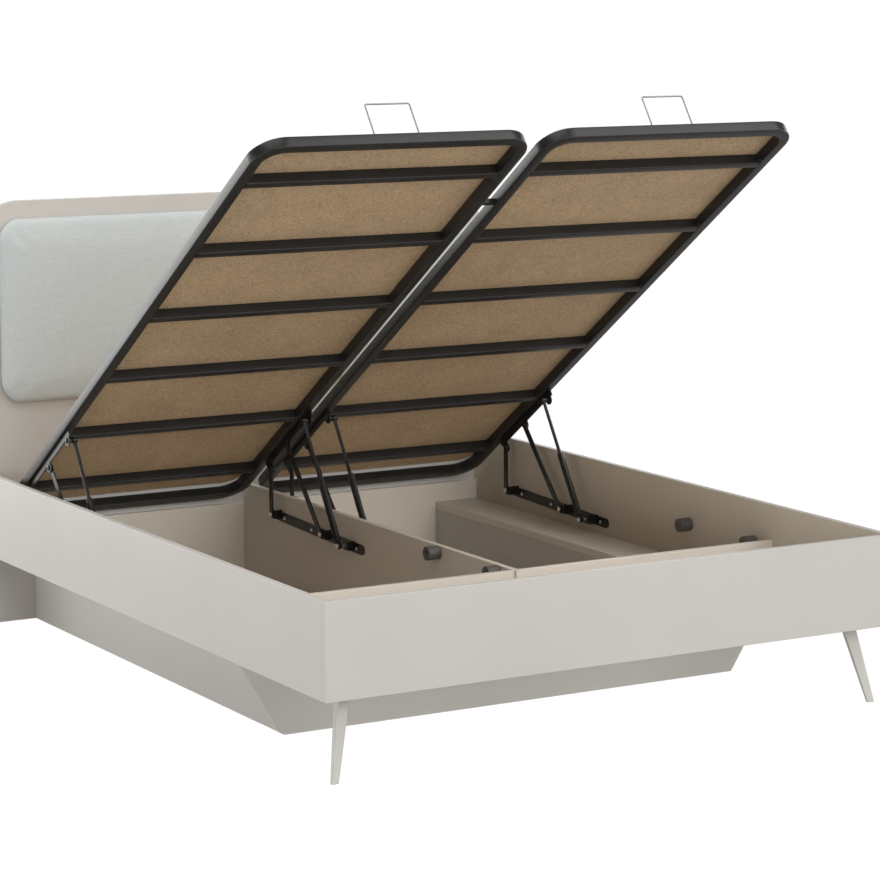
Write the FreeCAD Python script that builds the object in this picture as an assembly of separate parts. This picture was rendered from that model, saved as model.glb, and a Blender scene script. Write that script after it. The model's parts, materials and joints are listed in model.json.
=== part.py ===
import FreeCAD, Part
import math
import os

os.makedirs("parts", exist_ok=True)

Vector = FreeCAD.Vector

# All sizes are in millimetres. While the pieces are built, y is measured from the outer face
# of the foot rail towards the headboard; save() moves the whole bed to its own middle.

# Bed box
rail_span = 1660.0
rail_length = 2073.0
rail_bottom = 205.0
rail_height = 239.0
panel = 18.0
foot_bay = 498.0
plinth_inset = 149.0
ledge_thickness = 22.0
floor_board_bottom = 30.0
floor_board_thickness = 16.0
rest_above_ledge = 121.5
wall_below_rest = 1.0
head_panel_below_rest = 62.0
divider_nose = 8.0

# Headboard and its pad
headboard_height = 1223.0
headboard_thickness = 20.0
headboard_corner = 120.0
pad_side_margin = 47.0
pad_top_margin = 51.0
pad_height = 529.0
pad_depth = 40.0
pad_corner = 70.0
pad_roll = 56.0
pad_clear = 0.3
pad_depth_shares = (0.0, 0.18, 0.45, 0.68, 0.85, 0.95, 1.0)
pad_inset_shares = (0.08, 0.0, 0.0, 0.06, 0.22, 0.48, 1.0)

# Foot legs
leg_foot_from_side = 40.5
leg_foot_from_front = 34.2
leg_splay_side = 46.0
leg_splay_front = 45.5
leg_top_width = 37.0
leg_top_thickness = 17.5
leg_foot_width = 19.0
leg_foot_thickness = 10.5
leg_angle = 10.0
leg_block_side = 130.0
leg_block_height = 40.0

# Rest pegs
peg_diameter = 38.0
peg_length = 38.0
peg_front_from_partition = 84.0
peg_pitch = 308.0
peg_head_recess = 8.0

# Screws
screw_radius = 2.5
screw_head_radius = 5.5
screw_head_height = 2.5
screw_depth = 8.0
screw_clear = 0.1

# Lift platform
tube = 30.0
tube_wall = 1.5
bend_radius = 80.0
frame_wall_gap = 21.0
frame_gap = 40.0
platform_foot_clear = 6.0
platform_head_clear = 13.0
rest_clear = 0.5
open_angle = 34.72
pole_from_headboard = 89.1
pole_below_platform = 8.85
bar_count = 6
bar_width = 22.0
bar_wall = 1.2
bar_end_gap = 167.0
board_thickness = 10.0
board_inset = 20.0
board_head_gap = 20.0
retainer_width = 124.5
retainer_height = 123.5
retainer_radius = 2.0
retainer_bend = 5.0
retainer_tail = 3.0
tie_from_foot = 333.0
tie_side = 14.0

# Lift mechanisms, pivots measured from the headboard front and from the closed platform
rear_base_from_headboard = 253.0
rear_base_below = 59.0
front_base_below = 70.0
strut_base_from_headboard = 698.0
strut_base_below = 79.0
rear_top_from_head = 256.0
rear_top_below = 33.0
front_top_from_head = 392.0
front_top_below = 25.0
strut_top_from_head = 553.0
strut_top_below = 22.6
plate = 4.0
plate_gap = 0.5
strip_inset = 8.0
strip_bar_height = 18.0
strip_lobe_radius = 15.0
strip_end = 24.0
strip_clear = 0.3
link_half_width = 10.0
lug_radius = 13.0
lug_reach = 18.0
base_strip_half_height = 14.0
base_strip_rear_end = 2.0
base_strip_front_end = 62.0
base_strip_drop = 6.0
base_strip_screws_shares = (0.09, 0.42, 0.95)
pin_radius = 5.0
pin_head_radius = 7.5
pin_head_height = 2.5
pin_clear = 0.05
strut_radius = 9.5
strut_bore_radius = 7.0
strut_rod_radius = 5.0
strut_eye_radius = 9.0
strut_eye_width = 12.0
strut_neck = 14.0
strut_gland = 12.0
strut_bore_floor = 26.0
strut_piston_length = 10.0
strut_piston_rest = 4.0
strut_cylinder_share = 0.547

# Worked out from the sizes above
bed_length = rail_length + headboard_thickness
rail_outer = rail_span / 2
rail_inner = rail_outer - panel
rail_top = rail_bottom + rail_height
ledge_top = rail_bottom + ledge_thickness
rest_height = ledge_top + rest_above_ledge
wall_top = rest_height - wall_below_rest
half_panel = panel / 2
plinth_outer = rail_outer - plinth_inset
plinth_inner = plinth_outer - panel
bay_back = foot_bay + panel
head_panel_front = rail_length - panel
head_panel_top = rest_height - head_panel_below_rest
frame_outer = rail_inner - frame_wall_gap
frame_inner = frame_gap / 2
frame_length = rail_length - panel - platform_foot_clear - platform_head_clear
bar_pitch = (frame_length - 2 * bar_end_gap - bar_width) / (bar_count - 1)
closed_foot = panel + platform_foot_clear
closed_height = rest_height + rest_clear
peg_radius = peg_diameter / 2
peg_height = rest_height - peg_radius
peg_front = foot_bay + peg_front_from_partition
peg_places = (peg_front, peg_front + peg_pitch)


def box(x0, x1, y0, y1, z0, z1):
    return Part.makeBox(x1 - x0, y1 - y0, z1 - z0, Vector(x0, y0, z0))


def plate_across(points, y0, y1):
    """A flat plate facing the foot end, from (x, z) corners."""
    corners = [Vector(x, y0, z) for x, z in points]
    face = Part.Face(Part.makePolygon(corners + corners[:1]))
    return face.extrude(Vector(0, y1 - y0, 0))


def plate_along(points, x0, x1):
    """A flat plate facing the side, from (y, z) corners."""
    corners = [Vector(x0, y, z) for y, z in points]
    face = Part.Face(Part.makePolygon(corners + corners[:1]))
    return face.extrude(Vector(x1 - x0, 0, 0))


def cross_rod(centre, radius, x0, x1):
    """A round bar running across the bed at a (y, z) centre."""
    start = Vector(min(x0, x1), centre[0], centre[1])
    return Part.makeCylinder(radius, abs(x1 - x0), start, Vector(1, 0, 0))


def link_plate(start, end, half_width, x0, x1):
    """A flat bar with round ends between two (y, z) pivots."""
    low = min(x0, x1)
    first = Vector(low, start[0], start[1])
    second = Vector(low, end[0], end[1])
    along = (second - first) * (half_width / (second - first).Length)
    across = Vector(0, -along.z, along.y)
    edges = [
        Part.makeLine(first + across, second + across),
        Part.Arc(second + across, second + along, second - across).toShape(),
        Part.makeLine(second - across, first - across),
        Part.Arc(first - across, first - along, first + across).toShape(),
    ]
    return Part.Face(Part.Wire(edges)).extrude(Vector(abs(x1 - x0), 0, 0))


def rounded_wire(u0, u1, v0, v1, radius, to_space):
    """A rectangle with round corners; to_space turns (u, v) into a point."""
    bow = radius * (1 - math.sqrt(0.5))
    points = [
        (u0 + radius, v0), (u1 - radius, v0), (u1 - bow, v0 + bow), (u1, v0 + radius),
        (u1, v1 - radius), (u1 - bow, v1 - bow), (u1 - radius, v1),
        (u0 + radius, v1), (u0 + bow, v1 - bow), (u0, v1 - radius),
        (u0, v0 + radius), (u0 + bow, v0 + bow), (u0 + radius, v0),
    ]
    spots = [to_space(u, v) for u, v in points]
    edges = []
    for corner in range(4):
        start, end, bulge, after = spots[3 * corner:3 * corner + 4]
        edges.append(Part.makeLine(start, end))
        edges.append(Part.Arc(end, bulge, after).toShape())
    return Part.Wire(edges)


def save(name, *solids):
    shape = Part.makeCompound(list(solids)) if len(solids) > 1 else solids[0].copy()
    shape.translate(Vector(0, -bed_length / 2, 0))
    shape.exportStep(os.path.join("parts", name + ".step"))


# The platform is drawn flat, with y along it from its foot end and z up from its underside,
# and then set in the open pose: turned about the pole from where it lies when closed.
open_turn = math.radians(open_angle)
pole = (rail_length - pole_from_headboard, closed_height - pole_below_platform)


def open_point(along, up):
    """The (y, z) place of a platform point when the platform is open."""
    reach = closed_foot + along - pole[0]
    rise = closed_height + up - pole[1]
    y = pole[0] + reach * math.cos(open_turn) + rise * math.sin(open_turn)
    z = pole[1] - reach * math.sin(open_turn) + rise * math.cos(open_turn)
    return (y, z)


open_foot = open_point(0, 0)
open_place = FreeCAD.Placement(
    Vector(0, open_foot[0], open_foot[1]), FreeCAD.Rotation(Vector(1, 0, 0), -open_angle))


def on_platform(shape):
    moved = shape.copy()
    moved.Placement = open_place.multiply(moved.Placement)
    return moved


# Pivots: the upper ones sit on strips that slide along the frame while the platform closes,
# by as much as the rear link needs to reach both ends of the travel.
rear_top = (frame_length - rear_top_from_head, -rear_top_below)
front_top = (frame_length - front_top_from_head, -front_top_below)
strut_top = (frame_length - strut_top_from_head, -strut_top_below)
rear_base = (rail_length - rear_base_from_headboard, closed_height - rear_base_below)
strut_base = (rail_length - strut_base_from_headboard, closed_height - strut_base_below)
rear_open = open_point(*rear_top)
front_open = open_point(*front_top)
strut_open = open_point(*strut_top)
rear_link_length = math.dist(rear_base, rear_open)
rear_closed_rise = rear_base_below - rear_top_below
rear_closed_reach = math.sqrt(rear_link_length ** 2 - rear_closed_rise ** 2)
strip_travel = rear_base[0] + rear_closed_reach - closed_foot - rear_top[0]
front_closed = (closed_foot + front_top[0] + strip_travel, closed_height + front_top[1])
front_base_height = closed_height - front_base_below
closed_square = front_closed[0] ** 2 + (front_closed[1] - front_base_height) ** 2
open_square = front_open[0] ** 2 + (front_open[1] - front_base_height) ** 2
front_base_y = (closed_square - open_square) / (2 * (front_closed[0] - front_open[0]))
front_base = (front_base_y, front_base_height)

# Depths of the mechanism plates, counted from the tube face that looks at the wall
link_depth = strip_inset + plate + plate_gap
link_back = link_depth + plate
pin_head_depth = link_back + plate_gap
strut_depth = pin_head_depth + pin_head_height + plate_gap + strut_radius
strut_face = strut_depth - strut_radius
eye_front = strut_depth - strut_eye_width / 2
eye_back = strut_depth + strut_eye_width / 2

# Each mechanism: name, wall face, direction away from the wall, tube face that looks at the wall
mechanisms = (
    ("left_rail", -rail_inner, 1, -frame_outer),
    ("left_divider", -half_panel, -1, -frame_inner),
    ("right_divider", half_panel, 1, frame_inner),
    ("right_rail", rail_inner, -1, frame_outer),
)
peg_walls = ("left_rail", "left_divider", "right_rail")  # the tie carries the right frame's inner side

# Line of the base strips along the wall
strip_rear_mid = (rear_base[0] + base_strip_rear_end, rear_base[1] - base_strip_drop)
strip_front_mid = (strut_base[0] - base_strip_front_end, strut_base[1] - base_strip_drop)


def strip_point(share):
    y = strip_rear_mid[0] + share * (strip_front_mid[0] - strip_rear_mid[0])
    z = strip_rear_mid[1] + share * (strip_front_mid[1] - strip_rear_mid[1])
    return (y, z)


screw_points = [strip_point(share) for share in base_strip_screws_shares]

# Rest pegs, fixing screws and their holes, wall by wall
pegs = []
screws = []
wall_holes = {}
hole_radius = screw_radius + screw_clear
recess_radius = screw_head_radius + screw_clear
for name, wall, away, tube_face in mechanisms:
    holes = []
    sunk = wall - away * screw_depth
    for y in peg_places if name in peg_walls else ():
        centre = (y, peg_height)
        peg_end = wall + away * peg_length
        seat = peg_end - away * peg_head_recess
        peg = cross_rod(centre, peg_radius, wall, peg_end)
        peg = peg.cut(cross_rod(centre, hole_radius, wall, peg_end))
        pegs.append(peg.cut(cross_rod(centre, recess_radius, seat, peg_end)))
        head = cross_rod(centre, screw_head_radius, seat, seat + away * screw_head_height)
        screws.append(head.fuse(cross_rod(centre, screw_radius, sunk, seat)).removeSplitter())
        holes.append(cross_rod(centre, hole_radius, sunk, wall))
    for centre in screw_points:
        seat = wall + away * plate
        head = cross_rod(centre, screw_head_radius, seat, seat + away * screw_head_height)
        screws.append(head.fuse(cross_rod(centre, screw_radius, sunk, seat)).removeSplitter())
        holes.append(cross_rod(centre, hole_radius, sunk, wall))
    wall_holes[name] = holes
save("rest_pegs", *pegs)
save("fixing_screws", *screws)

# Side rails, foot rail and head panel
for name, x0, holes in (
    ("left", -rail_outer, wall_holes["left_rail"]),
    ("right", rail_inner, wall_holes["right_rail"]),
):
    rail = box(x0, x0 + panel, panel, rail_length, rail_bottom, rail_top)
    save("side_rail_" + name, rail.cut(holes))

save("foot_rail", box(-rail_outer, rail_outer, 0, panel, rail_bottom, rail_top))

head_outline = [
    (-plinth_inner, 0), (plinth_inner, 0), (plinth_inner, ledge_top), (rail_inner, ledge_top),
    (rail_inner, head_panel_top), (-rail_inner, head_panel_top),
    (-rail_inner, ledge_top), (-plinth_inner, ledge_top),
]
save("head_panel", plate_across(head_outline, head_panel_front, rail_length))

# Plinth, divider, partitions, ledges and storage floor
nose = foot_bay - divider_nose
divider_outline = [
    (bay_back, 0), (head_panel_front, 0), (head_panel_front, wall_top),
    (nose, wall_top), (nose, rail_bottom), (bay_back, rail_bottom),
]
divider = plate_along(divider_outline, -half_panel, half_panel)
save("divider", divider.cut(wall_holes["left_divider"] + wall_holes["right_divider"]))

plinth_outline = [
    (-plinth_outer, 0), (plinth_outer, 0), (rail_inner, rail_bottom), (-rail_inner, rail_bottom),
]
save("plinth_front", plate_across(plinth_outline, foot_bay, bay_back))

floor_board_top = floor_board_bottom + floor_board_thickness
for name, side in (("left", -1), ("right", 1)):
    wall_edges = sorted((side * half_panel, side * rail_inner))
    save("partition_" + name, box(*wall_edges, foot_bay, bay_back, rail_bottom, wall_top))
    plinth_edges = sorted((side * plinth_inner, side * plinth_outer))
    save("plinth_side_" + name, box(*plinth_edges, bay_back, rail_length, 0, rail_bottom))
    ledge_edges = sorted((side * plinth_inner, side * rail_inner))
    save("ledge_" + name, box(*ledge_edges, bay_back, rail_length, rail_bottom, ledge_top))
    floor_edges = sorted((side * half_panel, side * plinth_inner))
    save("floor_board_" + name, box(
        *floor_edges, bay_back, head_panel_front, floor_board_bottom, floor_board_top))

# Legs: flat tapered bars that lean out to the corner, turned a little inwards
leg_turn = math.radians(leg_angle)


def leg_section(centre, side, width, thickness):
    along = Vector(math.cos(leg_turn), -side * math.sin(leg_turn), 0) * (width / 2)
    across = Vector(side * math.sin(leg_turn), math.cos(leg_turn), 0) * (thickness / 2)
    front = centre - across
    back = centre + across
    points = [front - along, front + along, back + along, back - along]
    return Part.makePolygon(points + points[:1])


legs = []
blocks = []
for side in (-1, 1):
    foot = Vector(side * (rail_outer - leg_foot_from_side), leg_foot_from_front, 0)
    top = foot + Vector(-side * leg_splay_side, leg_splay_front, rail_bottom)
    legs.append(Part.makeLoft([
        leg_section(foot, side, leg_foot_width, leg_foot_thickness),
        leg_section(top, side, leg_top_width, leg_top_thickness),
    ], True, True))
    block_edges = sorted((side * (rail_inner - leg_block_side), side * rail_inner))
    blocks.append(box(
        *block_edges, panel, panel + leg_block_side, rail_bottom, rail_bottom + leg_block_height))
save("legs", *legs)
save("leg_blocks", *blocks)

# Headboard: square at the floor, round at the top corners
corner_bow = headboard_corner * (1 - math.sqrt(0.5))
shoulder = headboard_height - headboard_corner
crown_edge = rail_outer - headboard_corner


def headboard_point(x, z):
    return Vector(x, rail_length, z)


headboard_edges = [
    Part.makeLine(headboard_point(-rail_outer, 0), headboard_point(rail_outer, 0)),
    Part.makeLine(headboard_point(rail_outer, 0), headboard_point(rail_outer, shoulder)),
    Part.Arc(
        headboard_point(rail_outer, shoulder),
        headboard_point(rail_outer - corner_bow, headboard_height - corner_bow),
        headboard_point(crown_edge, headboard_height)).toShape(),
    Part.makeLine(
        headboard_point(crown_edge, headboard_height), headboard_point(-crown_edge, headboard_height)),
    Part.Arc(
        headboard_point(-crown_edge, headboard_height),
        headboard_point(corner_bow - rail_outer, headboard_height - corner_bow),
        headboard_point(-rail_outer, shoulder)).toShape(),
    Part.makeLine(headboard_point(-rail_outer, shoulder), headboard_point(-rail_outer, 0)),
]
headboard = Part.Face(Part.Wire(headboard_edges)).extrude(Vector(0, headboard_thickness, 0))
save("headboard_panel", headboard)

# Pad: drawn in at the back, full at the sides, rolled over to a flat crown
pad_half_width = rail_outer - pad_side_margin
pad_top = headboard_height - pad_top_margin
pad_sections = []
for depth_share, inset_share in zip(pad_depth_shares, pad_inset_shares):
    inset = pad_roll * inset_share
    y = rail_length - pad_clear - pad_depth * depth_share
    pad_sections.append(rounded_wire(
        inset - pad_half_width, pad_half_width - inset,
        pad_top - pad_height + inset, pad_top - inset,
        pad_corner - inset, lambda x, z: Vector(x, y, z)))
save("headboard_pad", Part.makeLoft(pad_sections, True, True))

# Lift platform: two bent-tube frames with cross bars, boards and retainers
bend_inner = bend_radius - tube


def tube_piece(x0, x1, y0, y1, runs_across, wall):
    """A straight square tube, open at both ends."""
    outside = box(x0, x1, y0, y1, 0, tube)
    if runs_across:
        inside = box(x0, x1, y0 + wall, y1 - wall, wall, tube - wall)
    else:
        inside = box(x0 + wall, x1 - wall, y0, y1, wall, tube - wall)
    return outside.cut(inside)


def quarter_ring(outer, inner, low, high):
    up = Vector(0, 0, 1)
    ring = Part.makeCylinder(outer, high - low, Vector(0, 0, low), up, 90)
    return ring.cut(Part.makeCylinder(inner, high - low, Vector(0, 0, low), up, 90))


def tube_bend(x, y, turn):
    outside = quarter_ring(bend_radius, bend_inner, 0, tube)
    inside = quarter_ring(bend_radius - tube_wall, bend_inner + tube_wall, tube_wall, tube - tube_wall)
    bend = outside.cut(inside)
    bend.rotate(Vector(0, 0, 0), Vector(0, 0, 1), turn)
    bend.translate(Vector(x, y, 0))
    return bend


def wire_loop(x_mid, y):
    low = -retainer_tail
    left = x_mid - retainer_width / 2
    right = x_mid + retainer_width / 2
    shoulder_height = retainer_height - retainer_radius - retainer_bend
    up = Vector(0, 0, 1)
    loop = Part.makeCylinder(
        retainer_radius, right - left - 2 * retainer_bend,
        Vector(left + retainer_bend, y, shoulder_height + retainer_bend), Vector(1, 0, 0))
    for x, inward in ((left, 1), (right, -1)):
        foot = Vector(x, y, low)
        leg = Part.makeCylinder(retainer_radius, shoulder_height - low, foot, up)
        ring = Part.Wire(Part.makeCircle(retainer_radius, Vector(x, y, shoulder_height), up))
        centre = Vector(x + inward * retainer_bend, y, shoulder_height)
        bend = Part.Face(ring).revolve(centre, Vector(0, inward, 0), 90)
        loop = loop.fuse([leg, bend])
    return loop.removeSplitter()


retainers = []
for name, x0, x1 in (
    ("left", -frame_outer, -frame_inner),
    ("right", frame_inner, frame_outer),
):
    x_mid = (x0 + x1) / 2
    foot_tube = tube_piece(x0 + bend_radius, x1 - bend_radius, 0, tube, True, tube_wall)
    for x in (x_mid - retainer_width / 2, x_mid + retainer_width / 2):
        drill = Part.makeCylinder(retainer_radius + screw_clear, tube, Vector(x, tube / 2, 0))
        foot_tube = foot_tube.cut(drill)
    head_tube = tube_piece(
        x0 + bend_radius, x1 - bend_radius, frame_length - tube, frame_length, True, tube_wall)
    side_ends = (bend_radius, frame_length - bend_radius)
    first_side = tube_piece(x0, x0 + tube, *side_ends, False, tube_wall)
    second_side = tube_piece(x1 - tube, x1, *side_ends, False, tube_wall)
    tubes = (foot_tube, head_tube, first_side, second_side)
    save("frame_tubes_" + name, *[on_platform(piece) for piece in tubes])
    bends = (
        tube_bend(x1 - bend_radius, frame_length - bend_radius, 0),
        tube_bend(x0 + bend_radius, frame_length - bend_radius, 90),
        tube_bend(x0 + bend_radius, bend_radius, 180),
        tube_bend(x1 - bend_radius, bend_radius, 270),
    )
    save("frame_bends_" + name, *[on_platform(piece) for piece in bends])
    bars = []
    for number in range(bar_count):
        y = bar_end_gap + number * bar_pitch
        bars.append(tube_piece(x0 + tube, x1 - tube, y, y + bar_width, True, bar_wall))
    save("cross_bars_" + name, *[on_platform(piece) for piece in bars])
    board_wire = rounded_wire(
        x0 + board_inset, x1 - board_inset,
        board_inset, frame_length - tube - board_head_gap,
        bend_radius - board_inset, lambda x, y: Vector(x, y, tube))
    board = Part.Face(board_wire).extrude(Vector(0, 0, board_thickness))
    save("board_" + name, on_platform(board))
    retainers.append(on_platform(wire_loop(x_mid, tube / 2)))
save("retainers", *retainers)

tie = box(
    -frame_inner, frame_inner, tie_from_foot - tie_side / 2, tie_from_foot + tie_side / 2,
    (tube - tie_side) / 2, (tube + tie_side) / 2)
save("frame_tie", on_platform(tie))

# Lift mechanisms
strut_length = math.dist(strut_base, strut_open)
strut_axis = Vector(
    0, (strut_open[0] - strut_base[0]) / strut_length, (strut_open[1] - strut_base[1]) / strut_length)
cylinder_length = strut_length * strut_cylinder_share
gland_start = cylinder_length - strut_gland
running_radius = pin_radius + pin_clear


def strut_bar(x, radius, start, end):
    """A round bar on the strut's axis, between two distances from its lower pivot."""
    origin = Vector(x, strut_base[0], strut_base[1])
    return Part.makeCylinder(radius, end - start, origin + strut_axis * start, strut_axis)


def pin(centre, depths, place):
    """A pin with an outer head, a shank, and an inner head where a third depth is given."""
    shank = cross_rod(centre, pin_radius, place(depths[0]), place(depths[1]))
    head = cross_rod(centre, pin_head_radius, place(depths[0] - pin_head_height), place(depths[0]))
    body = shank.fuse(head)
    if len(depths) > 2:
        body = body.fuse(cross_rod(centre, pin_head_radius, place(depths[1]), place(depths[2])))
    return body.removeSplitter()


def rivet(centre, start, end, place):
    """A rivet closing the lower end of a link, with its head on the inner side."""
    shank = cross_rod(centre, pin_radius, place(start), place(end))
    head = cross_rod(centre, pin_head_radius, place(end), place(end + pin_head_height))
    return shank.fuse(head).removeSplitter()


base_pins = []
strip_pins = []
rear_rivets = []
front_rivets = []
strut_rivets = []
lug_back = strip_inset + plate
for name, wall, away, tube_face in mechanisms:

    def place(depth):
        return tube_face + away * depth

    lug_x = sorted((place(strip_inset), place(lug_back)))
    web_x = sorted((wall, place(lug_back)))
    base_strip = link_plate(
        strip_rear_mid, strip_front_mid, base_strip_half_height, wall, wall + away * plate)
    lug_parts = []
    for y, z in (rear_base, front_base, strut_base):
        lug_parts.append(cross_rod((y, z), lug_radius, *lug_x))
        lug_parts.append(box(*lug_x, y - lug_reach, y, z - lug_radius, z + lug_radius))
        lug_parts.append(box(*web_x, y - lug_reach, y - lug_reach + plate, z - lug_radius, z + lug_radius))
    base_strip = base_strip.fuse(lug_parts).removeSplitter()
    cuts = [cross_rod(point, running_radius, *lug_x) for point in (rear_base, front_base, strut_base)]
    cuts += [cross_rod(point, hole_radius, wall, wall + away * plate) for point in screw_points]
    save("base_strip_" + name, base_strip.cut(cuts))
    base_pins.append(pin(rear_base, (strip_inset, lug_back), place))
    base_pins.append(pin(front_base, (strip_inset, lug_back), place))
    base_pins.append(pin(strut_base, (strip_inset, strut_face - plate_gap), place))

    strip = box(
        *lug_x, strut_top[0] - strip_end, rear_top[0] + strip_end, -strip_bar_height, -strip_clear)
    lobes = []
    for y, z in (rear_top, front_top, strut_top):
        lobes.append(cross_rod((y, z), strip_lobe_radius, *lug_x))
        lobes.append(box(*lug_x, y - strip_lobe_radius, y + strip_lobe_radius, z, -strip_clear))
    flush = box(*lug_x, 0, frame_length, -strip_clear, tube)
    strip = strip.fuse(lobes).cut(flush).removeSplitter()
    strip = strip.cut([
        cross_rod(point, running_radius, *lug_x) for point in (rear_top, front_top, strut_top)])
    save("upper_strip_" + name, on_platform(strip))
    head_end = pin_head_depth + pin_head_height
    strip_pins.append(pin(rear_open, (strip_inset, pin_head_depth, head_end), place))
    strip_pins.append(pin(front_open, (strip_inset, pin_head_depth, head_end), place))
    eye_end = eye_back + plate_gap
    strip_pins.append(pin(strut_open, (strip_inset, eye_end, eye_end + pin_head_height), place))

    link_x = sorted((place(link_depth), place(link_back)))
    for kind, low, high, rivets in (
        ("rear_link_", rear_base, rear_open, rear_rivets),
        ("front_link_", front_base, front_open, front_rivets),
    ):
        link = link_plate(low, high, link_half_width, *link_x)
        link = link.cut([cross_rod(low, running_radius, *link_x), cross_rod(high, running_radius, *link_x)])
        save(kind + name, link)
        rivets.append(rivet(low, link_depth, link_back, place))

    strut_x = place(strut_depth)
    eye_x = sorted((place(eye_front), place(eye_back)))
    cylinder = strut_bar(strut_x, strut_radius, strut_neck, cylinder_length)
    cylinder = cylinder.fuse([
        strut_bar(strut_x, strut_rod_radius, 0, strut_neck),
        cross_rod(strut_base, strut_eye_radius, *eye_x)])
    cylinder = cylinder.removeSplitter().cut([
        strut_bar(strut_x, strut_bore_radius, strut_bore_floor, gland_start),
        strut_bar(strut_x, strut_rod_radius + pin_clear, gland_start, cylinder_length),
        cross_rod(strut_base, running_radius, *eye_x)])
    save("strut_cylinder_" + name, cylinder)
    strut_rivets.append(rivet(strut_base, strut_face, eye_back, place))

    piston_end = gland_start - strut_piston_rest
    piston_start = piston_end - strut_piston_length
    rod = strut_bar(strut_x, strut_rod_radius, piston_end, strut_length)
    rod = rod.fuse([
        strut_bar(strut_x, strut_bore_radius - pin_clear, piston_start, piston_end),
        cross_rod(strut_open, strut_eye_radius, *eye_x)])
    rod = rod.removeSplitter().cut(cross_rod(strut_open, running_radius, *eye_x))
    save("strut_rod_" + name, rod)

save("base_pins", *base_pins)
save("strip_pins", *strip_pins)
save("rear_link_rivets", *rear_rivets)
save("front_link_rivets", *front_rivets)
save("strut_rivets", *strut_rivets)
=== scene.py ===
import json
import math

import bmesh
import bpy
from mathutils import Matrix, Vector


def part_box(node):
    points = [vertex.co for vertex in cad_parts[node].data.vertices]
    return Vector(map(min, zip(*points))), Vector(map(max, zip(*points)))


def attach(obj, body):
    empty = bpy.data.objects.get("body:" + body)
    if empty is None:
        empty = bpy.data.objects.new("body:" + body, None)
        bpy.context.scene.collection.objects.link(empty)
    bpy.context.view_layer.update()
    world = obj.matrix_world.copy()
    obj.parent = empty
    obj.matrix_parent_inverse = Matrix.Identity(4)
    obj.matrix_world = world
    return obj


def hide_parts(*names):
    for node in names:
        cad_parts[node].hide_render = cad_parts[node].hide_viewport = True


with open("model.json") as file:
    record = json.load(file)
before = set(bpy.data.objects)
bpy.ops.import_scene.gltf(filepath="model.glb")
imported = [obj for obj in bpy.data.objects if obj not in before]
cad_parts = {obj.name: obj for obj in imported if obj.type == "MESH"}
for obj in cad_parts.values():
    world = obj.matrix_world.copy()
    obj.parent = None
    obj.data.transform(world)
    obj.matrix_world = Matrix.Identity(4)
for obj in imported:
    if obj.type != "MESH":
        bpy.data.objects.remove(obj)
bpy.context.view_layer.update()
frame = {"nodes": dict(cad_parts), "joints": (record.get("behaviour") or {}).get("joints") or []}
scene = bpy.context.scene
print("frame loaded:", len(frame["nodes"]), "nodes")

liftJoint = next(j for j in frame["joints"] if j["name"] == "platform_lift")
pole = Vector(liftJoint["pos_m"])
openTurn = math.radians(liftJoint["range_deg"][1])
layFlat = Matrix.Translation(pole) @ Matrix.Rotation(openTurn, 4, "X") @ Matrix.Translation(-pole)
liftOpen = layFlat.inverted()  # from the closed platform to the open one


# small helpers

meshing = {"weld": 1e-6, "flat": math.radians(0.5), "edgeSegments": 2, "edgeAngle": 35, "smoothAngle": 40}


def boxRound(points):
    low = Vector([min(p[i] for p in points) for i in range(3)])
    high = Vector([max(p[i] for p in points) for i in range(3)])
    return low, high


def flatBox(node):  # a platform node's box, with the platform laid flat
    return boxRound([layFlat @ v.co for v in frame["nodes"][node].data.vertices])


def addPiece(name, mesh, material, body, node):
    piece = bpy.data.objects.new(name, mesh)
    scene.collection.objects.link(piece)
    mesh.materials.clear()
    mesh.materials.append(material)
    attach(piece, body)
    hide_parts(node)


def bakeModifiers(piece):
    depsgraph = bpy.context.evaluated_depsgraph_get()
    mesh = bpy.data.meshes.new_from_object(piece.evaluated_get(depsgraph))
    piece.modifiers.clear()
    piece.data = mesh
    return mesh


def softenEdges(mesh, width, segments=meshing["edgeSegments"]):
    angle = math.radians(meshing["edgeAngle"])
    holder = bpy.data.objects.new("edgeHolder", mesh)
    scene.collection.objects.link(holder)
    bevel = holder.modifiers.new("edges", "BEVEL")
    bevel.width = width
    bevel.segments = segments
    bevel.limit_method = "ANGLE"
    bevel.angle_limit = angle
    bevel.harden_normals = True
    mesh.shade_smooth()
    mesh.set_sharp_from_angle(angle=angle)
    baked = bakeModifiers(holder)
    bpy.data.objects.remove(holder)
    return baked


def cleanCopy(node):  # a CAD node's mesh with its loose triangles joined
    mesh = bpy.data.meshes.new(node + "Clean")
    work = bmesh.new()
    work.from_mesh(frame["nodes"][node].data)
    bmesh.ops.remove_doubles(work, verts=work.verts, dist=meshing["weld"])
    bmesh.ops.dissolve_limit(work, angle_limit=meshing["flat"], verts=work.verts, edges=work.edges)
    work.to_mesh(mesh)
    work.free()
    return mesh


def boxMesh(name, low, high):
    mesh = bpy.data.meshes.new(name)
    work = bmesh.new()
    place = Matrix.Translation((low + high) / 2) @ Matrix.Diagonal((*(high - low), 1))
    bmesh.ops.create_cube(work, size=1, matrix=place)
    work.to_mesh(mesh)
    work.free()
    return mesh


def solidBoxes(node):  # the box of each separate solid in a CAD node
    work = bmesh.new()
    work.from_mesh(frame["nodes"][node].data)
    bmesh.ops.remove_doubles(work, verts=work.verts, dist=meshing["weld"])
    left = set(work.verts)
    boxes = []
    while left:
        front = [left.pop()]
        points = []
        while front:
            vert = front.pop()
            points.append(vert.co.copy())
            for edge in vert.link_edges:
                other = edge.other_vert(vert)
                if other in left:
                    left.discard(other)
                    front.append(other)
        boxes.append(boxRound(points))
    work.free()
    boxes.sort(key=lambda b: [round(c, 4) for c in b[0]])
    return boxes


# materials

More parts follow.
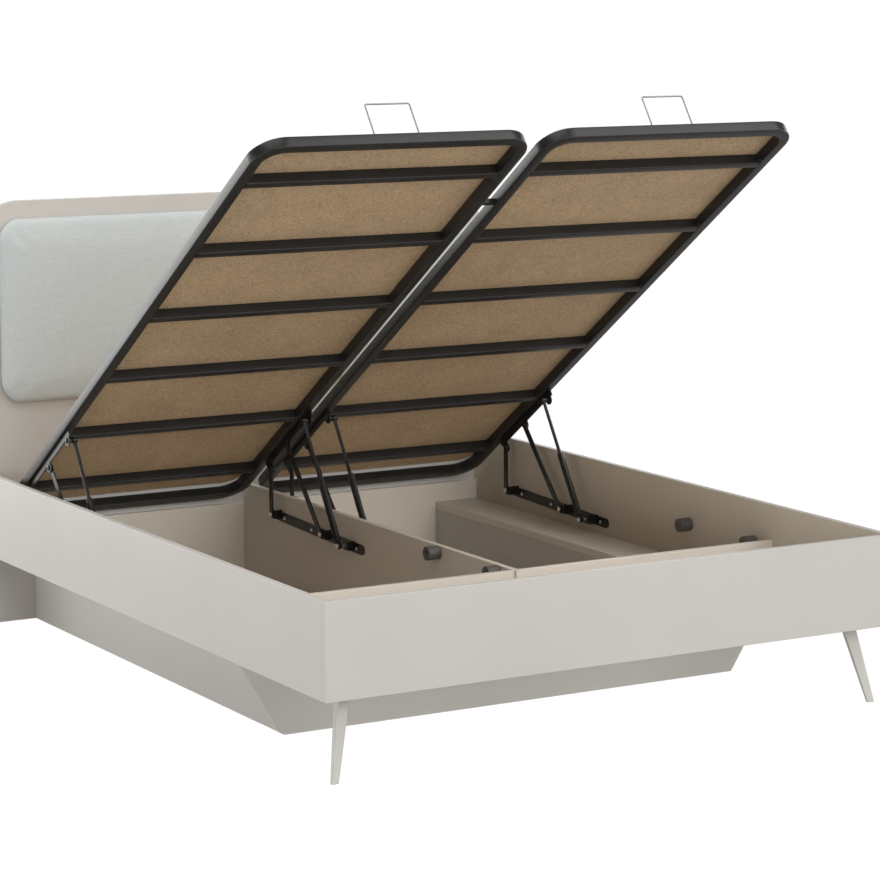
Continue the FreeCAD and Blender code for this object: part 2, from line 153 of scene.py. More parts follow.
def startMaterial(name, colour, roughness, metallic=0.0):
    material = bpy.data.materials.new(name)
    material.use_nodes = True
    shader = material.node_tree.nodes["Principled BSDF"]
    shader.inputs["Base Color"].default_value = (*colour, 1)
    shader.inputs["Roughness"].default_value = roughness
    shader.inputs["Metallic"].default_value = metallic
    return material, material.node_tree, shader


def objectSpace(tree, scale=(1, 1, 1)):
    coords = tree.nodes.new("ShaderNodeTexCoord")
    mapping = tree.nodes.new("ShaderNodeMapping")
    mapping.inputs["Scale"].default_value = scale
    tree.links.new(coords.outputs["Object"], mapping.inputs["Vector"])
    return mapping.outputs["Vector"]


def noise(tree, vector, scale, detail=3.0, rough=0.55):
    node = tree.nodes.new("ShaderNodeTexNoise")
    node.inputs["Scale"].default_value = scale
    node.inputs["Detail"].default_value = detail
    node.inputs["Roughness"].default_value = rough
    tree.links.new(vector, node.inputs["Vector"])
    return node.outputs["Fac"]


def ramp(tree, factor, stops):
    node = tree.nodes.new("ShaderNodeValToRGB")
    points = node.color_ramp.elements
    while len(points) < len(stops):
        points.new(0.5)
    for point, (place, colour) in zip(points, stops):
        point.position = place
        point.color = (*colour, 1)
    tree.links.new(factor, node.inputs["Fac"])
    return node.outputs["Color"]


def multiplied(tree, first, second):  # one colour times another
    node = tree.nodes.new("ShaderNodeMix")
    node.data_type = "RGBA"
    node.blend_type = "MULTIPLY"
    node.inputs[0].default_value = 1.0
    tree.links.new(first, node.inputs[6])  # sockets 6 and 7 in and 2 out are the node's colours
    tree.links.new(second, node.inputs[7])
    return node.outputs[2]


def feed(tree, socket, value):  # a link from another node, or a plain value
    if isinstance(value, bpy.types.NodeSocket):
        tree.links.new(value, socket)
    else:
        socket.default_value = value


def maths(tree, operation, first, second):
    node = tree.nodes.new("ShaderNodeMath")
    node.operation = operation
    feed(tree, node.inputs[0], first)
    feed(tree, node.inputs[1], second)
    return node.outputs[0]


def bump(tree, shader, height, strength, distance):
    node = tree.nodes.new("ShaderNodeBump")
    node.inputs["Strength"].default_value = strength
    node.inputs["Distance"].default_value = distance
    tree.links.new(height, node.inputs["Height"])
    tree.links.new(node.outputs["Normal"], shader.inputs["Normal"])


def shades(colour, *shares):
    return [tuple(min(1.0, c * share) for c in colour) for share in shares]


def grey(value):
    return (value, value, value)


# inner is a warmer, lighter copy of the outer lacquer, painted warm bounce light for the interior panels;
# railInsideShade is a darker, browner copy, painted shade for the rails' inner faces
lacquer = {
    "outer": (0.520, 0.502, 0.470), "inner": (0.675, 0.612, 0.526), "railInsideShade": (0.500, 0.435, 0.350),
    "tones": (0.965, 1.0, 1.03), "cloud": 2.2, "fibre": 340.0, "fibreDark": 0.955,
    "roughness": 0.42, "glossy": 0.38, "dull": 0.47, "relief": 0.0004,
}


def boardLacquer(name, colour):
    material, tree, shader = startMaterial(name, colour, lacquer["roughness"])
    space = objectSpace(tree)
    cloud = noise(tree, space, lacquer["cloud"], detail=2.0)
    dark, mid, light = shades(colour, *lacquer["tones"])
    tone = ramp(tree, cloud, ((0.3, dark), (0.5, mid), (0.75, light)))
    speck = noise(tree, space, lacquer["fibre"], detail=4.0, rough=0.7)
    grain = ramp(tree, speck, ((0.30, grey(lacquer["fibreDark"])), (0.55, grey(1.0))))
    tree.links.new(multiplied(tree, tone, grain), shader.inputs["Base Color"])
    gloss = ramp(tree, speck, ((0.3, grey(lacquer["glossy"])), (0.7, grey(lacquer["dull"]))))
    tree.links.new(gloss, shader.inputs["Roughness"])
    bump(tree, shader, speck, strength=0.10, distance=lacquer["relief"])
    return material


weave = {"colour": (0.512, 0.547, 0.543), "thread": 0.0021, "slub": 240.0, "roughness": 0.9,
         "crossShare": 0.65, "tones": (0.92, 1.0, 1.06), "gapDark": 0.92, "slubHeight": 1.4, "relief": 0.0006}
waveScale = 0.314  # a wave texture of this scale has one band per metre


def wovenCloth():
    material, tree, shader = startMaterial("wovenCloth", weave["colour"], weave["roughness"])
    shader.inputs["Sheen Weight"].default_value = 0.25
    shader.inputs["Sheen Roughness"].default_value = 0.5
    space = objectSpace(tree)
    waves = []
    for axis in ("X", "Z"):
        wave = tree.nodes.new("ShaderNodeTexWave")
        wave.bands_direction = axis
        wave.inputs["Scale"].default_value = waveScale / weave["thread"]
        wave.inputs["Distortion"].default_value = 1.1
        wave.inputs["Detail"].default_value = 2.0
        wave.inputs["Detail Scale"].default_value = 1.6
        tree.links.new(space, wave.inputs["Vector"])
        waves.append(wave.outputs["Fac"])
    threads = maths(tree, "MAXIMUM", *waves)
    crosswise = noise(tree, objectSpace(tree, scale=(0.12, 1, 1.4)), weave["slub"], detail=4.0, rough=0.62)
    upright = noise(tree, objectSpace(tree, scale=(1.4, 1, 0.15)), weave["slub"], detail=3.0, rough=0.6)
    slubs = maths(
        tree, "ADD", maths(tree, "MULTIPLY", crosswise, weave["crossShare"]),
        maths(tree, "MULTIPLY", upright, 1 - weave["crossShare"]))
    dark, mid, light = shades(weave["colour"], *weave["tones"])
    melange = ramp(tree, slubs, ((0.36, dark), (0.5, mid), (0.64, light)))
    gaps = ramp(tree, threads, ((0.25, grey(weave["gapDark"])), (0.7, grey(1.0))))
    tree.links.new(multiplied(tree, melange, gaps), shader.inputs["Base Color"])
    height = maths(tree, "ADD", threads, maths(tree, "MULTIPLY", slubs, weave["slubHeight"]))
    bump(tree, shader, height, strength=0.35, distance=weave["relief"])
    return material


chips = {
    "colour": (0.480, 0.344, 0.205), "roughness": 0.72, "chip": 260.0, "tones": (0.78, 0.94, 1.03, 1.22),
    "cloud": 7.0, "cloudTones": (0.90, 1.08), "fleck": 130.0, "fleckTone": (0.45, 0.42, 0.40),
    "relief": 0.0005,
}


def particleBoard():
    material, tree, shader = startMaterial("particleBoard", chips["colour"], chips["roughness"])
    space = objectSpace(tree)
    cells = tree.nodes.new("ShaderNodeTexVoronoi")
    cells.inputs["Scale"].default_value = chips["chip"]
    cells.inputs["Randomness"].default_value = 1.0
    tree.links.new(space, cells.inputs["Vector"])
    split = tree.nodes.new("ShaderNodeSeparateColor")
    tree.links.new(cells.outputs["Color"], split.inputs["Color"])
    dark, low, mid, light = shades(chips["colour"], *chips["tones"])
    chipTone = ramp(tree, split.outputs["Red"], ((0.0, dark), (0.25, low), (0.7, mid), (1.0, light)))
    shadow, shine = chips["cloudTones"]
    patches = noise(tree, space, chips["cloud"], detail=5.0, rough=0.62)
    cloud = ramp(tree, patches, ((0.3, grey(shadow)), (0.7, grey(shine))))
    spots = noise(tree, space, chips["fleck"], detail=2.0, rough=0.5)
    flecks = ramp(tree, spots, ((0.285, chips["fleckTone"]), (0.33, grey(1.0))))
    tone = multiplied(tree, multiplied(tree, chipTone, cloud), flecks)
    tree.links.new(tone, shader.inputs["Base Color"])
    bump(tree, shader, split.outputs["Green"], strength=0.18, distance=chips["relief"])
    return material


coat = {
    "peel": 620.0, "cloud": 14.0, "tones": (0.8, 1.25), "glossier": 0.05, "duller": 0.08, "relief": 0.0003,
}


def paintedMetal(name, colour, roughness, shine):
    material, tree, shader = startMaterial(name, colour, roughness)
    space = objectSpace(tree)
    shader.inputs["Specular IOR Level"].default_value = shine
    grain = noise(tree, space, coat["peel"], detail=2.0)
    dark, light = shades(colour, *coat["tones"])
    tone = ramp(tree, noise(tree, space, coat["cloud"], detail=4.0), ((0.3, dark), (0.7, light)))
    tree.links.new(tone, shader.inputs["Base Color"])
    low, high = grey(roughness - coat["glossier"]), grey(roughness + coat["duller"])
    gloss = ramp(tree, grain, ((0.3, low), (0.7, high)))
    tree.links.new(gloss, shader.inputs["Roughness"])
    bump(tree, shader, grain, strength=0.08, distance=coat["relief"])
    return material


brush = {"streak": 260.0, "stretch": (1, 6, 6), "tones": (0.82, 1.08), "glossier": 0.8, "duller": 1.3}


def brushedSteel(name, colour, roughness):
    material, tree, shader = startMaterial(name, colour, roughness, metallic=1.0)
    streaks = noise(tree, objectSpace(tree, brush["stretch"]), brush["streak"], detail=3.0)
    dark, light = shades(colour, *brush["tones"])
    tree.links.new(ramp(tree, streaks, ((0.3, dark), (0.7, light))), shader.inputs["Base Color"])
    low, high = grey(roughness * brush["glossier"]), grey(roughness * brush["duller"])
    gloss = ramp(tree, streaks, ((0.3, low), (0.7, high)))
    tree.links.new(gloss, shader.inputs["Roughness"])
    return material


rubber = {
    "colour": (0.085, 0.078, 0.070), "dark": (0.072, 0.066, 0.060), "light": (0.102, 0.094, 0.085),
    "roughness": 0.6, "grain": 420.0, "relief": 0.0004,
}


def pegRubber():
    material, tree, shader = startMaterial("pegRubber", rubber["colour"], rubber["roughness"])
    grain = noise(tree, objectSpace(tree), rubber["grain"], detail=3.0)
    tone = ramp(tree, grain, ((0.3, rubber["dark"]), (0.7, rubber["light"])))
    tree.links.new(tone, shader.inputs["Base Color"])
    bump(tree, shader, grain, strength=0.15, distance=rubber["relief"])
    return material


outerLacquer = boardLacquer("greigeLacquer", lacquer["outer"])
# a warmer, lighter copy of the greige lacquer: painted warm bounce light on the interior panels
bounceTintedLacquer = boardLacquer("innerPaintedBounceLacquer", lacquer["inner"])
# a darker, browner copy of the lacquer: painted shade on the rails' inner faces
railInsideShadeLacquer = boardLacquer("railInsidePaintedShade", lacquer["railInsideShade"])
clothFinish = wovenCloth()
boardFinish = particleBoard()
framePaint = paintedMetal("charcoalPowderCoat", (0.013, 0.0125, 0.012), roughness=0.33, shine=0.36)
mechanismPaint = paintedMetal("blackPowderCoat", (0.006, 0.0055, 0.005), roughness=0.36, shine=0.46)
pinSteel = brushedSteel("brightZinc", (0.78, 0.77, 0.75), roughness=0.26)
wireChrome = brushedSteel("chromedWire", (0.24, 0.24, 0.245), roughness=0.22)
rubberFinish = pegRubber()
print("materials made")

# lacquered panels: plain boards with eased edges; the interior panels take a warmer, lighter lacquer as
# painted bounce light, and the rails' inner faces a darker one as painted shade

panels = {"edge": 0.0012, "facing": 0.9}
panelNodes = {
    "box": ("side_rail_left", "side_rail_right", "foot_rail", "plinth_side_left", "plinth_side_right"),
    "innerBox": (
        "partition_left", "partition_right", "ledge_left", "ledge_right",
        "floor_board_left", "floor_board_right"),
    "shaped": ("headboard_panel", "plinth_front", "legs", "leg_blocks"),
    "innerShaped": ("head_panel", "divider"),
}
# the rails' inner faces, picked by the way they face, get the darker lacquer as painted shade
shadedRailInsides = {"side_rail_left": 1, "side_rail_right": -1}  # the way each rail's inner face looks along X
for group, nodes in panelNodes.items():
    # interior panels take the lighter, warmer lacquer as painted bounce light
    finish = bounceTintedLacquer if group.startswith("inner") else outerLacquer
    for node in nodes:
        isBox = group.lower().endswith("box")
        plain = boxMesh(node, *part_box(node)) if isBox else cleanCopy(node)
        mesh = softenEdges(plain, panels["edge"])
        addPiece(node + ("_panel" if isBox else "_shaped"), mesh, finish, "bed_base", node)
        if node in shadedRailInsides:
            # painted shade: the faces turned inwards take the darker lacquer
            mesh.materials.append(railInsideShadeLacquer)
            for face in mesh.polygons:
                if face.normal.x * shadedRailInsides[node] > panels["facing"]:
                    face.material_index = 1
print("panels made")

# headboard pad: foam under woven cloth, swelled against the panel

pad = {
    "voxel": 0.0065, "pressure": 4.0, "frames": 20, "shrink": 0.004, "cap": 0.006, "fill": 0.85,
    "held": 0.004, "quality": 5, "mass": 0.3, "smoothing": 22, "smoothFactor": 0.5, "sideEase": 0.008,
}


def drawToSize(mesh, low, high):  # the smoothing draws a pad in, so it is stretched back
    first, last = boxRound([vert.co.copy() for vert in mesh.vertices])
    for vert in mesh.vertices:
        for i in range(3):
            vert.co[i] = low[i] + (vert.co[i] - first[i]) * (high[i] - low[i]) / (last[i] - first[i])


def swellPad():
    mesh = cleanCopy("headboard_pad")
    low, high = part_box("headboard_pad")
    back = high.y
    middle = (low + high) / 2
    for vert in mesh.vertices:  # a little smaller, because it swells
        for i in (0, 2):
            half = (high[i] - low[i]) / 2
            vert.co[i] = middle[i] + (vert.co[i] - middle[i]) * (half - pad["shrink"]) / half
        vert.co.y = back + (vert.co.y - back) * (high.y - low.y - pad["shrink"]) / (high.y - low.y)
    cushion = bpy.data.objects.new("headboardCushion", mesh)
    scene.collection.objects.link(cushion)
    remesh = cushion.modifiers.new("remesh", "REMESH")
    remesh.mode = "VOXEL"
    remesh.voxel_size = pad["voxel"] * 1
    bakeModifiers(cushion)
    start = [v.co.copy() for v in cushion.data.vertices]
    held = cushion.vertex_groups.new(name="held")
    for vert in cushion.data.vertices:
        if vert.co.y > back - pad["held"]:
            held.add([vert.index], 1.0, "REPLACE")
    cloth = cushion.modifiers.new("swell", "CLOTH")
    cloth.settings.quality = pad["quality"]
    cloth.settings.mass = pad["mass"]
    cloth.settings.use_pressure = True
    cloth.settings.uniform_pressure_force = pad["pressure"]
    cloth.settings.vertex_group_mass = "held"
    cloth.settings.effector_weights.gravity = 0.0
    cloth.collision_settings.use_collision = False
    cloth.point_cache.frame_start = 1
    cloth.point_cache.frame_end = pad["frames"]
    for step in range(1, pad["frames"] + 1):
        scene.frame_set(step)
    bakeModifiers(cushion)
    scene.frame_set(1)
    for vert, old in zip(cushion.data.vertices, start):
        moved = vert.co - old
        if moved.length > pad["cap"]:
            vert.co = old + moved.normalized() * pad["cap"]
        vert.co.y = min(vert.co.y, back)
    smooth = cushion.modifiers.new("smooth", "SMOOTH")
    smooth.iterations = pad["smoothing"]
    smooth.factor = pad["smoothFactor"]
    finer = cushion.modifiers.new("finer", "SUBSURF")
    finer.levels = finer.render_levels = 1
    mesh = bakeModifiers(cushion)
    drawToSize(mesh, low + Vector((pad["sideEase"], 0, 0)), high - Vector((pad["sideEase"], 0, 0)))
    mesh.shade_smooth()
    mesh.materials.clear()
    mesh.materials.append(clothFinish)
    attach(cushion, "bed_base")
    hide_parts("headboard_pad")


swellPad()
print("pad made")


# geometry nodes: tools for building a tree and turning its result into a mesh

class NodeTree:
    def __init__(self, name, **inputs):
        self.tree = bpy.data.node_groups.new(name, "GeometryNodeTree")
        self.tree.interface.new_socket(name="Geometry", in_out="INPUT", socket_type="NodeSocketGeometry")
        for label, kind in inputs.items():
            self.tree.interface.new_socket(name=label, in_out="INPUT", socket_type="NodeSocket" + kind)
        self.tree.interface.new_socket(name="Geometry", in_out="OUTPUT", socket_type="NodeSocketGeometry")
        self.inside = self.tree.nodes.new("NodeGroupInput")
        self.outside = self.tree.nodes.new("NodeGroupOutput")

    def value(self, name):
        return self.inside.outputs[name]

    def node(self, kind, settings=None, **inputs):
        made = self.tree.nodes.new(kind)
        for name, value in (settings or {}).items():
            setattr(made, name, value)
        for name, value in inputs.items():
            feed(self.tree, made.inputs[name.replace("_", " ")], value)
        return made

    def maths(self, operation, first, second):
        return maths(self.tree, operation, first, second)

    def vector(self, x=0.0, y=0.0, z=0.0):
        made = self.tree.nodes.new("ShaderNodeCombineXYZ")
        for socket, value in zip(made.inputs, (x, y, z)):
            feed(self.tree, socket, value)
        return made.outputs[0]

    def roundedOutline(self, width, height, radius, count):
        outline = self.node("GeometryNodeCurvePrimitiveQuadrilateral", Width=width, Height=height)
        return self.node(
            "GeometryNodeFilletCurve", {"mode": "POLY"},
            Curve=outline.outputs[0], Radius=radius, Count=count).outputs[0]

    def close(self, geometry, material):
        real = self.node("GeometryNodeRealizeInstances", Geometry=geometry)
        painted = self.node("GeometryNodeSetMaterial", Geometry=real.outputs[0], Material=material)
        self.tree.links.new(painted.outputs[0], self.outside.inputs[0])

    def grow(self, name, values, seedMesh=None, place=None):
        piece = bpy.data.objects.new(name, seedMesh or bpy.data.meshes.new(name))
        scene.collection.objects.link(piece)
        modifier = piece.modifiers.new("build", "NODES")
        modifier.node_group = self.tree
        for item in self.tree.interface.items_tree:
            if item.in_out == "INPUT" and item.name in values:
                modifier[item.identifier] = values[item.name]
        mesh = bakeModifiers(piece)
        if place:
            mesh.transform(place)
        mesh.shade_smooth()
        mesh.set_sharp_from_angle(angle=math.radians(meshing["smoothAngle"]))
        return piece


# platform frames: one bent tube each, with a welded set of cross bars

tubes = {"bend": 0.080, "edge": 0.0035, "bendSteps": 14, "edgeSteps": 4}
bars = {"edge": 0.0028, "edgeSteps": 3, "bead": 0.0022, "beadSides": 8}
boards = {"edge": 0.0008}


def frameLoopTree():
    t = NodeTree("frameLoop", Width="Float", Length="Float", Tube="Float", Bend="Float", Edge="Float",
                 BendSteps="Int", EdgeSteps="Int")
    tube = t.value("Tube")
    path = t.roundedOutline(
        t.maths("SUBTRACT", t.value("Width"), tube), t.maths("SUBTRACT", t.value("Length"), tube),
        t.maths("SUBTRACT", t.value("Bend"), t.maths("MULTIPLY", tube, 0.5)), t.value("BendSteps"))
    level = t.node("GeometryNodeSetCurveNormal", {"mode": "Z_UP"}, Curve=path)
    section = t.roundedOutline(tube, tube, t.value("Edge"), t.value("EdgeSteps"))
    loop = t.node("GeometryNodeCurveToMesh", Curve=level.outputs[0], Profile_Curve=section)
    t.close(loop.outputs[0], framePaint)
    return t


def crossBarsTree():
    t = NodeTree("crossBars", Count="Int", Pitch="Float", Span="Float", BarWidth="Float", BarHeight="Float",
                 Edge="Float", EdgeSteps="Int", Bead="Float")
    half = t.maths("MULTIPLY", t.value("Span"), 0.5)
    other = t.maths("MULTIPLY", half, -1.0)
    line = t.node("GeometryNodeCurvePrimitiveLine", Start=t.vector(other), End=t.vector(half))
    level = t.node("GeometryNodeSetCurveNormal", {"mode": "Z_UP"}, Curve=line.outputs[0])
    section = t.roundedOutline(
        t.value("BarWidth"), t.value("BarHeight"), t.value("Edge"), t.value("EdgeSteps"))
    bar = t.node("GeometryNodeCurveToMesh", Curve=level.outputs[0], Profile_Curve=section, Fill_Caps=True)
    thread = t.node("GeometryNodeCurvePrimitiveCircle", Resolution=bars["beadSides"], Radius=t.value("Bead"))
    ring = t.node("GeometryNodeCurveToMesh", Curve=section, Profile_Curve=thread.outputs[0])
    upright = (0.0, math.pi / 2, 0.0)
    sets = t.node("GeometryNodeJoinGeometry")
    t.tree.links.new(bar.outputs[0], sets.inputs[0])
    for end in (other, half):  # a weld bead round each end
        weld = t.node(
            "GeometryNodeTransform", Geometry=ring.outputs[0], Translation=t.vector(end), Rotation=upright)
        t.tree.links.new(weld.outputs[0], sets.inputs[0])
    row = t.node(
        "GeometryNodeMeshLine", {"mode": "OFFSET"},
        Count=t.value("Count"), Offset=t.vector(0, t.value("Pitch")))
    copies = t.node("GeometryNodeInstanceOnPoints", Points=row.outputs[0], Instance=sets.outputs[0])
    t.close(copies.outputs[0], framePaint)
    return t


loopTree = frameLoopTree()
barTree = crossBarsTree()
for side in ("left", "right"):
    low, high = flatBox("frame_tubes_" + side)
    middle = (low + high) / 2
    tubeSize = high.z - low.z
    loop = loopTree.grow("frameLoop_" + side, {
        "Width": high.x - low.x, "Length": high.y - low.y, "Tube": tubeSize, "Bend": tubes["bend"],
        "Edge": tubes["edge"], "BendSteps": tubes["bendSteps"], "EdgeSteps": tubes["edgeSteps"],
    }, place=liftOpen @ Matrix.Translation(middle))
    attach(loop, "lift_platform")
    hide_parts("frame_tubes_" + side, "frame_bends_" + side)

    solids = sorted((layFlat @ ((a + b) / 2)).y for a, b in solidBoxes("cross_bars_" + side))
    barLow, barHigh = flatBox("cross_bars_" + side)
    pitch = (solids[-1] - solids[0]) / (len(solids) - 1)
    barWidth = barHigh.y - barLow.y - pitch * (len(solids) - 1)
    start = Vector((middle.x, solids[0], (barLow.z + barHigh.z) / 2))
    row = barTree.grow("crossBars_" + side, {
        "Count": len(solids), "Pitch": pitch, "Span": barHigh.x - barLow.x, "BarWidth": barWidth,
        "BarHeight": barHigh.z - barLow.z, "Edge": bars["edge"], "EdgeSteps": bars["edgeSteps"],
        "Bead": bars["bead"],
    }, place=liftOpen @ Matrix.Translation(start))
    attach(row, "lift_platform")
    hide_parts("cross_bars_" + side)

    board = softenEdges(cleanCopy("board_" + side), boards["edge"])
    addPiece("baseBoard_" + side, board, boardFinish, "lift_platform", "board_" + side)
print("platform made")

# mattress retainers and frame tie

retainer = {"radius": 0.002, "bend": 0.005, "bendSteps": 8, "ring": 12}
tie = {"edge": 0.002}


def retainerTree():
    t = NodeTree("retainerWire", Radius="Float", Bend="Float", BendSteps="Int", Ring="Int")
    path = t.node("GeometryNodeMeshToCurve", Mesh=t.value("Geometry"))
    rounded = t.node("GeometryNodeFilletCurve", {"mode": "POLY"}, Curve=path.outputs[0],
                     Radius=t.value("Bend"), Count=t.value("BendSteps"))
    thread = t.node("GeometryNodeCurvePrimitiveCircle", Resolution=t.value("Ring"), Radius=t.value("Radius"))
    wire = t.node(
        "GeometryNodeCurveToMesh", Curve=rounded.outputs[0], Profile_Curve=thread.outputs[0], Fill_Caps=True)
    t.close(wire.outputs[0], wireChrome)
    return t


def retainerPath():
    points = []
    runs = []
    bottom, peak = flatBox("retainers")
    y = (bottom.y + peak.y) / 2
    top = peak.z - retainer["radius"]
    for low, high in solidBoxes("retainers"):  # the platform turns about X, so x is the same laid flat
        left = low.x + retainer["radius"]
        right = high.x - retainer["radius"]
        first = len(points)
        points += [(left, y, bottom.z), (left, y, top), (right, y, top), (right, y, bottom.z)]
        runs += [(first, first + 1), (first + 1, first + 2), (first + 2, first + 3)]
    mesh = bpy.data.meshes.new("retainerPath")
    mesh.from_pydata(points, runs, [])
    return mesh


wires = retainerTree().grow("retainerWires", {
    "Radius": retainer["radius"], "Bend": retainer["bend"],
    "BendSteps": retainer["bendSteps"], "Ring": retainer["ring"],
}, seedMesh=retainerPath(), place=liftOpen)
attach(wires, "lift_platform")
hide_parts("retainers")
tieMesh = softenEdges(cleanCopy("frame_tie"), tie["edge"])
addPiece("frameTie", tieMesh, mechanismPaint, "lift_platform", "frame_tie")
print("retainers made")

# lift mechanisms: pressed steel with eased edges, and domed pins

steel = {"edge": 0.0007, "strut": 0.0012, "pin": 0.0005}
pegs = {"edge": 0.0022, "segments": 3}
walls = ("left_rail", "left_divider", "right_divider", "right_rail")
for wall in walls:
    for kind, body, edge in (
        ("base_strip_", "bed_base", steel["edge"]),
        ("upper_strip_", "upper_strips", steel["edge"]),
        ("rear_link_", "rear_links", steel["edge"]),
        ("front_link_", "front_links", steel["edge"]),
        ("strut_cylinder_", "strut_cylinders", steel["strut"]),
        ("strut_rod_", "strut_rods", steel["edge"]),
    ):
        mesh = softenEdges(cleanCopy(kind + wall), edge)
        addPiece(kind + wall + "_steel", mesh, mechanismPaint, body, kind + wall)
for node, body, finish in (
    # painted shade: the strip pins are zinc but take the black coat, so their heads look shaded
    ("base_pins", "bed_base", pinSteel), ("strip_pins", "upper_strips", mechanismPaint),
    ("rear_link_rivets", "rear_links", pinSteel), ("front_link_rivets", "front_links", pinSteel),
    ("strut_rivets", "strut_cylinders", pinSteel), ("fixing_screws", "bed_base", pinSteel),
):
    addPiece(node + "_steel", softenEdges(cleanCopy(node), steel["pin"]), finish, body, node)
pegMesh = softenEdges(cleanCopy("rest_pegs"), pegs["edge"], pegs["segments"])
addPiece("restPegs", pegMesh, rubberFinish, "bed_base", "rest_pegs")

domes = {"pin": 0.0075, "screw": 0.0055, "height": 0.0014, "share": 0.92, "rings": 8, "segments": 20}


def domeTree(finish):
    t = NodeTree("domedHeads", Radius="Float", Height="Float", Segments="Int", Rings="Int")
    ball = t.node(
        "GeometryNodeMeshUVSphere", Segments=t.value("Segments"), Rings=t.value("Rings"), Radius=1.0)
    points = t.node("GeometryNodeMeshToPoints", Mesh=t.value("Geometry"))
    flattened = t.vector(t.value("Height"), t.value("Radius"), t.value("Radius"))
    copies = t.node(
        "GeometryNodeInstanceOnPoints", Points=points.outputs[0],
        Instance=ball.outputs["Mesh"], Scale=flattened)
    t.close(copies.outputs[0], finish)
    return t


def headPoints(node, wallSide):  # the middle of each pin's head, at its end by the wall or its inner end
    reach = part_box("rest_pegs")[1].x / 2  # halfway out, between the divider and the rail
    points = []
    for low, high in solidBoxes(node):
        centre = (low + high) / 2
        inwards = 1 if (centre.x > 0) == (abs(centre.x) < reach) else -1
        x = high.x if (inwards > 0) != wallSide else low.x
        points.append((x, centre.y, centre.z))
    mesh = bpy.data.meshes.new(node + "Heads")
    mesh.from_pydata(points, [], [])
    return mesh


brightHeads = domeTree(pinSteel)
# black domes for the zinc strip pins: painted shade
paintedShadeHeads = domeTree(mechanismPaint)
for node, body, radius, wallSide, headTree in (
    ("strip_pins", "upper_strips", domes["pin"], True, paintedShadeHeads),
    ("rear_link_rivets", "rear_links", domes["pin"], False, brightHeads),
    ("front_link_rivets", "front_links", domes["pin"], False, brightHeads),
    ("strut_rivets", "strut_cylinders", domes["pin"], False, brightHeads),
    ("fixing_screws", "bed_base", domes["screw"], False, brightHeads),
):
    heads = headTree.grow(node + "_domes", {
        "Radius": radius * domes["share"], "Height": domes["height"],
        "Segments": domes["segments"], "Rings": domes["rings"],
    }, seedMesh=headPoints(node, wallSide))
    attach(heads, body)
print("mechanisms made")

# floor, light and camera: a white floor, soft boxes in front and above, and low panels round the sides

studio = {"floor": 0.30, "bounce": 0.20, "tint": (1.0, 0.92, 0.82), "glow": 1.14, "lift": 0.88, "sky": 0.06,
          "reach": 400.0, "roughness": 0.9}
softBoxes = {  # place, point aimed at, width and height in metres, brightness
    "front": ((1.6, -10.0, 4.6), (0, 0, 0.5), (12.0, 6.5), 3.2),
    "left": ((-10.0, 0.0, 0.85), (0, 0, 0.5), (13.4, 1.05), 7.2),
    "frontLeft": ((-7.0, -6.0, 1.0), (-0.6, 1.0, 0.75), (4.0, 1.6), 3.0),
    "right": ((10.0, 0.0, 2.1), (0, 0, 0.5), (16.0, 3.3), 3.0),
    "back": ((0.0, 10.0, 2.1), (0, 0, 0.5), (16.0, 3.3), 3.0),
    "above": ((-4.0, 0.0, 8.0), (-4.0, 0.01, 0.0), (8.0, 10.0), 2.3),
    "high": ((4.6, -4.0, 7.2), (0, 0, 0.6), (5.0, 5.0), 3.2),
    "rim": ((-2.4, 3.3, 0.32), (-0.8, 0.65, 0.5), (1.1, 0.6), 3.4),
    "backLeft": ((-3.8, 5.0, 0.8), (-0.8, 0.0, 0.9), (3.6, 1.6), 3.4),
}


def seenByCamera(tree, factor, plain, seen):  # another shader for what the camera sees directly
    blend = tree.nodes.new("ShaderNodeMixShader")
    direct = tree.nodes.new("ShaderNodeLightPath").outputs["Is Camera Ray"]
    tree.links.new(maths(tree, "MULTIPLY", direct, factor), blend.inputs[0])
    tree.links.new(plain.outputs[0], blend.inputs[1])
    tree.links.new(seen.outputs[0], blend.inputs[2])
    return blend.outputs[0]


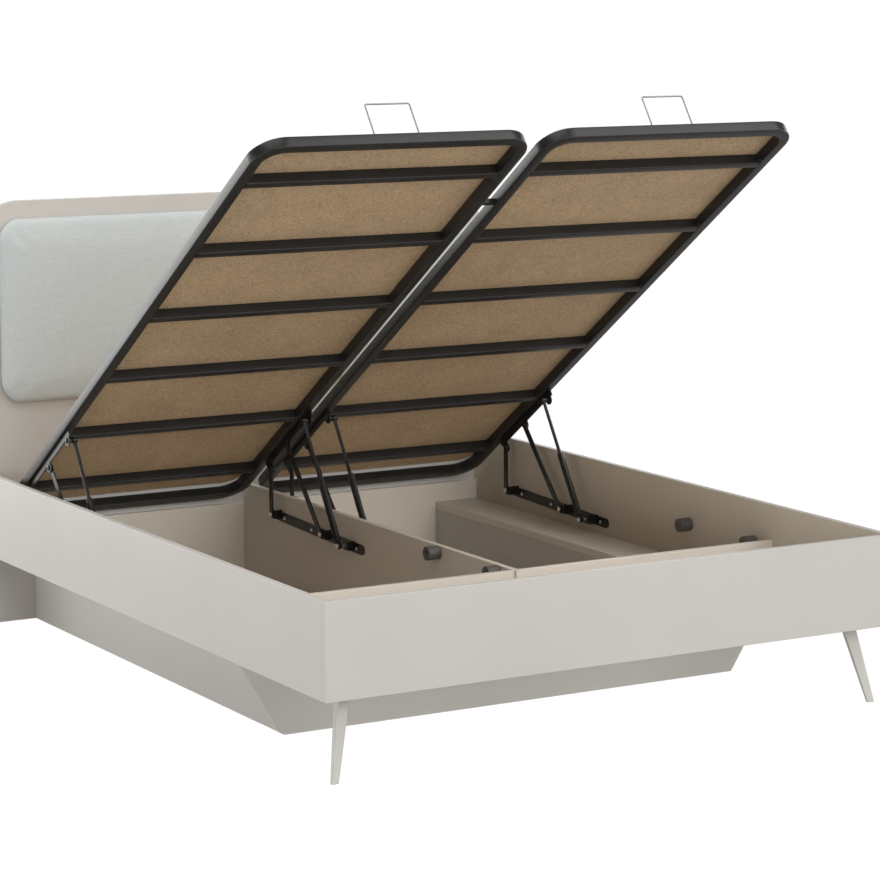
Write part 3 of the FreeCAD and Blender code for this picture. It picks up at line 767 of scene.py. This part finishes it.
def makeFloor():
    mesh = bpy.data.meshes.new("floor")
    size = studio["reach"]
    corners = [(-size, -size, 0), (size, -size, 0), (size, size, 0), (-size, size, 0)]
    mesh.from_pydata(corners, [], [(0, 1, 2, 3)])
    floor = bpy.data.objects.new("floor", mesh)
    scene.collection.objects.link(floor)
    material, tree, shader = startMaterial("paleFloor", grey(studio["floor"]), studio["roughness"])
    shader.inputs["Specular IOR Level"].default_value = 0.0
    shader.inputs["Emission Color"].default_value = (*studio["tint"], 1)
    shader.inputs["Emission Strength"].default_value = studio["bounce"]
    glow = tree.nodes.new("ShaderNodeEmission")
    glow.inputs["Strength"].default_value = studio["glow"]
    surface = seenByCamera(tree, studio["lift"], shader, glow)
    tree.links.new(surface, tree.nodes["Material Output"].inputs["Surface"])
    mesh.materials.append(material)


def makeSky():
    world = bpy.data.worlds.new("softStudio")
    scene.world = world
    world.use_nodes = True
    tree = world.node_tree
    soft = tree.nodes["Background"]
    soft.inputs["Color"].default_value = (1, 1, 1, 1)
    soft.inputs["Strength"].default_value = studio["sky"]
    white = tree.nodes.new("ShaderNodeBackground")
    white.inputs["Color"].default_value = (1, 1, 1, 1)
    white.inputs["Strength"].default_value = studio["glow"]
    surface = seenByCamera(tree, 1.0, soft, white)
    tree.links.new(surface, tree.nodes["World Output"].inputs["Surface"])


def makeLamps():
    for name, (place, aim, size, brightness) in softBoxes.items():
        data = bpy.data.lights.new(name, "AREA")
        data.shape = "RECTANGLE"
        data.size, data.size_y = size
        data.energy = brightness * math.pi * size[0] * size[1]
        lamp = bpy.data.objects.new(name, data)
        lamp.location = place
        lamp.rotation_euler = (Vector(aim) - Vector(place)).to_track_quat("-Z", "Y").to_euler()
        lamp.visible_camera = False
        scene.collection.objects.link(lamp)


view = {
    "place": (-4.04186, -6.01197, 1.89410), "yaw": -0.5294, "down": 0.1562,
    "lens": 123.87, "sensor": 36.0,
}


def makeCamera():
    data = bpy.data.cameras.new("camera")
    data.sensor_width = view["sensor"]
    data.lens = view["lens"]
    camera = bpy.data.objects.new("camera", data)
    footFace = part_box("foot_rail")[0].y  # the place is given from the foot rail's outer face
    camera.location = Vector(view["place"]) + Vector((0, footFace, 0))
    camera.rotation_euler = (math.pi / 2 - view["down"], 0, view["yaw"])
    scene.collection.objects.link(camera)
    scene.camera = camera


makeFloor()
makeSky()
makeLamps()
makeCamera()
scene.view_settings.view_transform = "Standard"
print("stage made")
